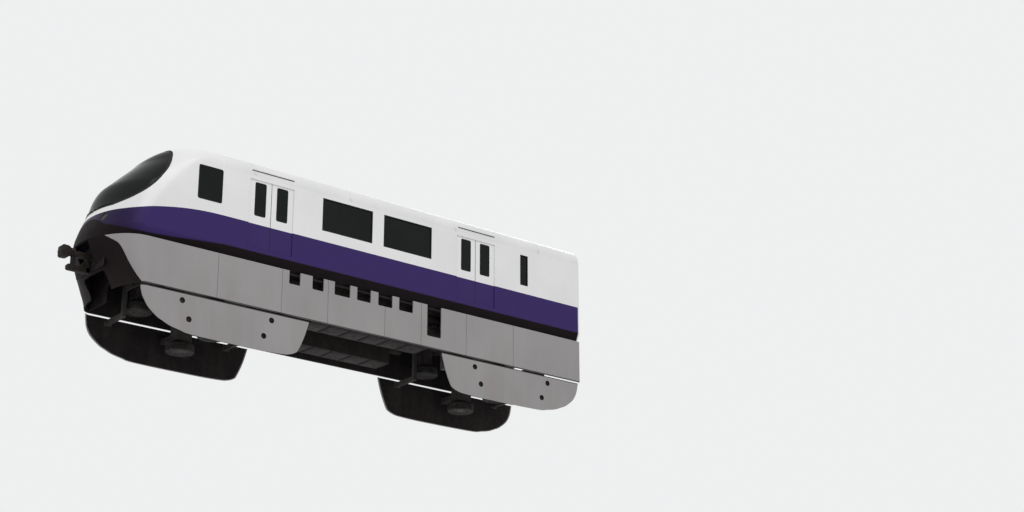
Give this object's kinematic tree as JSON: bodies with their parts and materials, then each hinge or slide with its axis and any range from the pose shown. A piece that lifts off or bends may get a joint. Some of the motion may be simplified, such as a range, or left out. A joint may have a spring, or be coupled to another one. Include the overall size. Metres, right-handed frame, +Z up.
{
  "type": "straddle-beam monorail cab car",
  "caption": "Cab car of a straddle monorail: hollow body with sliding doors and raked windshield on two bogies whose tyred wheels run on and beside a beam.",
  "frame": {"origin": "on the beam's running surface, under the middle of the car", "axes": "+X forward to the nose, +Y to the car's left side, +Z up"},
  "size_m": [15.44, 2.98, 5.29],
  "materials": {
    "body_white": "satin gloss white",
    "band_blue": "gloss violet blue",
    "skirt_grey": "satin pale grey",
    "roof_grey": "satin grey",
    "valance_dark": "matt black",
    "underframe_dark": "dull dark grey",
    "bogie_steel": "dull dark grey",
    "coupler_iron": "dark casting",
    "tyre_black": "matt rubber",
    "bellows_rubber": "matt rubber",
    "window_glass": "dark tinted",
    "windshield_glass": "dark tinted",
    "lamp_glass": "clear lens",
    "interior_panel": "light panel",
    "cab_fittings": "dark grained plastic",
    "seat_plastic": "moulded shell",
    "rail_steel": "brushed"
  },
  "bodies": {
    "carbody": {"underframe": "underframe_dark", "side_wall_left": "body_white", "side_wall_right": "body_white", "band_panel_left": "band_blue", "band_panel_right": "band_blue", "saloon_glazing_left": "window_glass", "saloon_glazing_right": "window_glass", "rear_window_left": "window_glass", "rear_window_right": "window_glass", "roof": "body_white", "rear_wall": "body_white", "gangway_frame": "bellows_rubber", "cab_shell": "body_white", "windshield": "windshield_glass", "cab_window_left": "window_glass", "cab_window_right": "window_glass", "nose_panel": "band_blue", "headlight_left": "lamp_glass", "headlight_right": "lamp_glass", "cab_partition": "interior_panel", "driver_station": "cab_fittings", "bench_left": "seat_plastic", "bench_right": "seat_plastic", "grab_rails": "rail_steel", "roof_units": "roof_grey", "skirt_left": "skirt_grey", "skirt_right": "skirt_grey", "front_valance": "valance_dark", "coupler_front": "coupler_iron", "coupler_rear": "coupler_iron"},
    "bogie_front": {"bogie_frame_front": "bogie_steel", "bogie_cover_front_left": "skirt_grey", "bogie_cover_front_right": "skirt_grey"},
    "bogie_rear": {"bogie_frame_rear": "bogie_steel", "bogie_cover_rear_left": "skirt_grey", "bogie_cover_rear_right": "skirt_grey"},
    "front_axle_fore": {"axle_front_fore": "tyre_black"},
    "front_axle_aft": {"axle_front_aft": "tyre_black"},
    "rear_axle_fore": {"axle_rear_fore": "tyre_black"},
    "rear_axle_aft": {"axle_rear_aft": "tyre_black"},
    "front_guide_fore_left": {"guide_wheel_front_fore_left": "tyre_black"},
    "front_guide_fore_right": {"guide_wheel_front_fore_right": "tyre_black"},
    "front_guide_aft_left": {"guide_wheel_front_aft_left": "tyre_black"},
    "front_guide_aft_right": {"guide_wheel_front_aft_right": "tyre_black"},
    "rear_guide_fore_left": {"guide_wheel_rear_fore_left": "tyre_black"},
    "rear_guide_fore_right": {"guide_wheel_rear_fore_right": "tyre_black"},
    "rear_guide_aft_left": {"guide_wheel_rear_aft_left": "tyre_black"},
    "rear_guide_aft_right": {"guide_wheel_rear_aft_right": "tyre_black"},
    "front_stabiliser_left": {"stabiliser_front_left": "tyre_black"},
    "front_stabiliser_right": {"stabiliser_front_right": "tyre_black"},
    "rear_stabiliser_left": {"stabiliser_rear_left": "tyre_black"},
    "rear_stabiliser_right": {"stabiliser_rear_right": "tyre_black"},
    "leaf_front_left_fore": {"door_front_left_fore": "body_white"},
    "leaf_front_left_aft": {"door_front_left_aft": "body_white"},
    "leaf_front_right_fore": {"door_front_right_fore": "body_white"},
    "leaf_front_right_aft": {"door_front_right_aft": "body_white"},
    "leaf_rear_left_fore": {"door_rear_left_fore": "body_white"},
    "leaf_rear_left_aft": {"door_rear_left_aft": "body_white"},
    "leaf_rear_right_fore": {"door_rear_right_fore": "body_white"},
    "leaf_rear_right_aft": {"door_rear_right_aft": "body_white"}
  },
  "joints": [
    {"name": "bogie_front_yaw", "type": "hinge", "parent": "carbody", "child": "bogie_front", "pos_m": [3.88, 0, 0.76], "axis": [0, 0, 1], "range_deg": [-3.5, 3.5]},
    {"name": "bogie_rear_yaw", "type": "hinge", "parent": "carbody", "child": "bogie_rear", "pos_m": [-4.95, 0, 0.76], "axis": [0, 0, 1], "range_deg": [-3.5, 3.5]},
    {"name": "front_axle_fore_turn", "type": "hinge", "parent": "bogie_front", "child": "front_axle_fore", "pos_m": [4.63, 0, 0.503], "axis": [0, 1, 0], "continuous": true},
    {"name": "front_axle_aft_turn", "type": "hinge", "parent": "bogie_front", "child": "front_axle_aft", "pos_m": [3.13, 0, 0.503], "axis": [0, 1, 0], "continuous": true},
    {"name": "rear_axle_fore_turn", "type": "hinge", "parent": "bogie_rear", "child": "rear_axle_fore", "pos_m": [-4.2, 0, 0.503], "axis": [0, 1, 0], "continuous": true},
    {"name": "rear_axle_aft_turn", "type": "hinge", "parent": "bogie_rear", "child": "rear_axle_aft", "pos_m": [-5.7, 0, 0.503], "axis": [0, 1, 0], "continuous": true},
    {"name": "front_guide_fore_left_turn", "type": "hinge", "parent": "bogie_front", "child": "front_guide_fore_left", "pos_m": [5.13, 0.79, -0.3], "axis": [0, 0, 1], "continuous": true},
    {"name": "front_guide_fore_right_turn", "type": "hinge", "parent": "bogie_front", "child": "front_guide_fore_right", "pos_m": [5.13, -0.79, -0.3], "axis": [0, 0, 1], "continuous": true},
    {"name": "front_guide_aft_left_turn", "type": "hinge", "parent": "bogie_front", "child": "front_guide_aft_left", "pos_m": [2.63, 0.79, -0.3], "axis": [0, 0, 1], "continuous": true},
    {"name": "front_guide_aft_right_turn", "type": "hinge", "parent": "bogie_front", "child": "front_guide_aft_right", "pos_m": [2.63, -0.79, -0.3], "axis": [0, 0, 1], "continuous": true},
    {"name": "rear_guide_fore_left_turn", "type": "hinge", "parent": "bogie_rear", "child": "rear_guide_fore_left", "pos_m": [-3.7, 0.79, -0.3], "axis": [0, 0, 1], "continuous": true},
    {"name": "rear_guide_fore_right_turn", "type": "hinge", "parent": "bogie_rear", "child": "rear_guide_fore_right", "pos_m": [-3.7, -0.79, -0.3], "axis": [0, 0, 1], "continuous": true},
    {"name": "rear_guide_aft_left_turn", "type": "hinge", "parent": "bogie_rear", "child": "rear_guide_aft_left", "pos_m": [-6.2, 0.79, -0.3], "axis": [0, 0, 1], "continuous": true},
    {"name": "rear_guide_aft_right_turn", "type": "hinge", "parent": "bogie_rear", "child": "rear_guide_aft_right", "pos_m": [-6.2, -0.79, -0.3], "axis": [0, 0, 1], "continuous": true},
    {"name": "front_stabiliser_left_turn", "type": "hinge", "parent": "bogie_front", "child": "front_stabiliser_left", "pos_m": [3.88, 0.79, -1.1], "axis": [0, 0, 1], "continuous": true},
    {"name": "front_stabiliser_right_turn", "type": "hinge", "parent": "bogie_front", "child": "front_stabiliser_right", "pos_m": [3.88, -0.79, -1.1], "axis": [0, 0, 1], "continuous": true},
    {"name": "rear_stabiliser_left_turn", "type": "hinge", "parent": "bogie_rear", "child": "rear_stabiliser_left", "pos_m": [-4.95, 0.79, -1.1], "axis": [0, 0, 1], "continuous": true},
    {"name": "rear_stabiliser_right_turn", "type": "hinge", "parent": "bogie_rear", "child": "rear_stabiliser_right", "pos_m": [-4.95, -0.79, -1.1], "axis": [0, 0, 1], "continuous": true},
    {"name": "leaf_front_left_fore_slide", "type": "slide", "parent": "carbody", "child": "leaf_front_left_fore", "axis": [1, 0, 0], "range_m": [0, 0.64]},
    {"name": "leaf_front_left_aft_slide", "type": "slide", "parent": "carbody", "child": "leaf_front_left_aft", "axis": [-1, 0, 0], "range_m": [0, 0.64]},
    {"name": "leaf_front_right_fore_slide", "type": "slide", "parent": "carbody", "child": "leaf_front_right_fore", "axis": [1, 0, 0], "range_m": [0, 0.64]},
    {"name": "leaf_front_right_aft_slide", "type": "slide", "parent": "carbody", "child": "leaf_front_right_aft", "axis": [-1, 0, 0], "range_m": [0, 0.64]},
    {"name": "leaf_rear_left_fore_slide", "type": "slide", "parent": "carbody", "child": "leaf_rear_left_fore", "axis": [1, 0, 0], "range_m": [0, 0.64]},
    {"name": "leaf_rear_left_aft_slide", "type": "slide", "parent": "carbody", "child": "leaf_rear_left_aft", "axis": [-1, 0, 0], "range_m": [0, 0.64]},
    {"name": "leaf_rear_right_fore_slide", "type": "slide", "parent": "carbody", "child": "leaf_rear_right_fore", "axis": [1, 0, 0], "range_m": [0, 0.64]},
    {"name": "leaf_rear_right_aft_slide", "type": "slide", "parent": "carbody", "child": "leaf_rear_right_aft", "axis": [-1, 0, 0], "range_m": [0, 0.64]}
  ],
  "couplings": [
    {"joint": "leaf_front_left_aft_slide", "follows": "leaf_front_left_fore_slide", "ratio": 1},
    {"joint": "leaf_front_right_aft_slide", "follows": "leaf_front_right_fore_slide", "ratio": 1},
    {"joint": "leaf_rear_left_aft_slide", "follows": "leaf_rear_left_fore_slide", "ratio": 1},
    {"joint": "leaf_rear_right_aft_slide", "follows": "leaf_rear_right_fore_slide", "ratio": 1}
  ]
}
